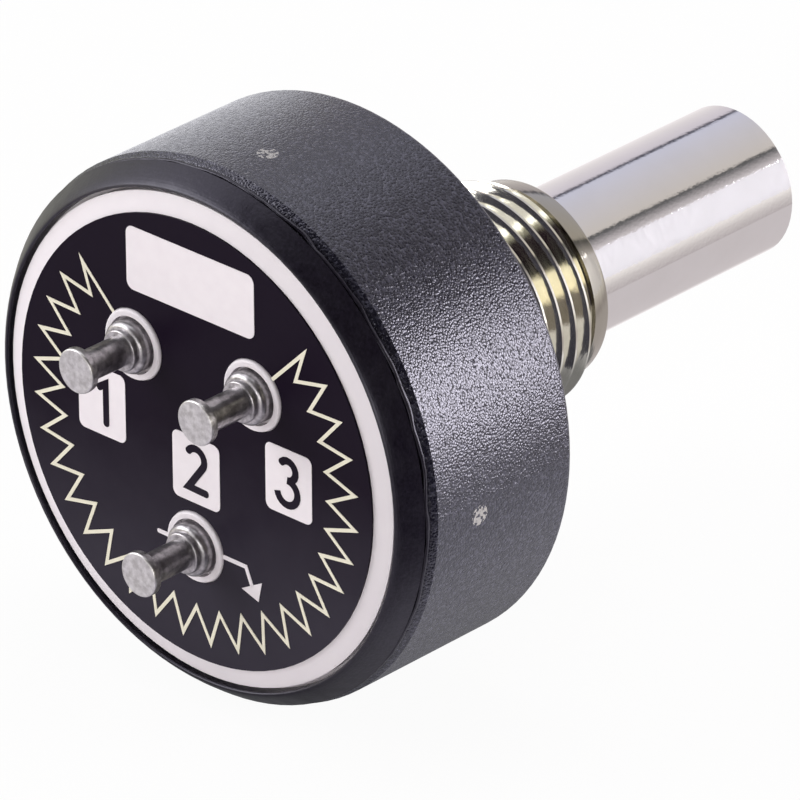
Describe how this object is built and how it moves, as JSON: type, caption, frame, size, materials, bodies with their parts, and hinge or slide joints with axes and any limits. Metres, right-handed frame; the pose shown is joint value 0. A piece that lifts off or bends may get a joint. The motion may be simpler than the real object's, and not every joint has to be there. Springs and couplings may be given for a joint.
{
  "type": "rotary potentiometer",
  "caption": "Short round panel potentiometer with a threaded bushing, a plain round shaft and turret solder terminals on its printed rear face.",
  "frame": {"origin": "centre of the mounting face, on the axis of the shaft", "axes": "+Y along the shaft, away from the body; +Z towards the top of the printed rear face; +X to the right as that face is read"},
  "size_m": [0.0226, 0.0345, 0.0224],
  "materials": {
    "grained_black": "grained moulded black",
    "smooth_black": "smooth moulded black",
    "white_board": "satin white moulding",
    "black_print": "printed black",
    "plated_brass": "nickel plated, threaded",
    "polished_steel": "ground and polished",
    "spring_steel": "dull",
    "bronze": "rolled sheet",
    "tinned": "tinned, turned",
    "hub_plastic": "moulded",
    "laminate": "laminated sheet",
    "carbon_film": "printed carbon film",
    "silver_film": "printed silver film"
  },
  "bodies": {
    "stator": {"housing": "grained_black", "rear_bezel": "smooth_black", "weld_bead": "smooth_black", "terminal_board": "white_board", "face_label": "black_print", "locating_pin": "grained_black", "bushing": "plated_brass", "element_disc": "laminate", "resistive_track": "carbon_film", "collector_ring": "silver_film", "end_lead_1": "silver_film", "end_lead_3": "silver_film", "collector_lead": "silver_film", "terminal_1": "tinned", "terminal_2": "tinned", "terminal_3": "tinned"},
    "rotor": {"shaft": "polished_steel", "thrust_washer": "bronze", "spring_washer": "spring_steel", "retaining_ring": "spring_steel", "rotor_hub": "hub_plastic", "wiper": "bronze"}
  },
  "joints": [
    {"name": "shaft_spin", "type": "hinge", "parent": "stator", "child": "rotor", "pos_m": [0, 0, 0], "axis": [0, 1, 0], "continuous": true}
  ]
}
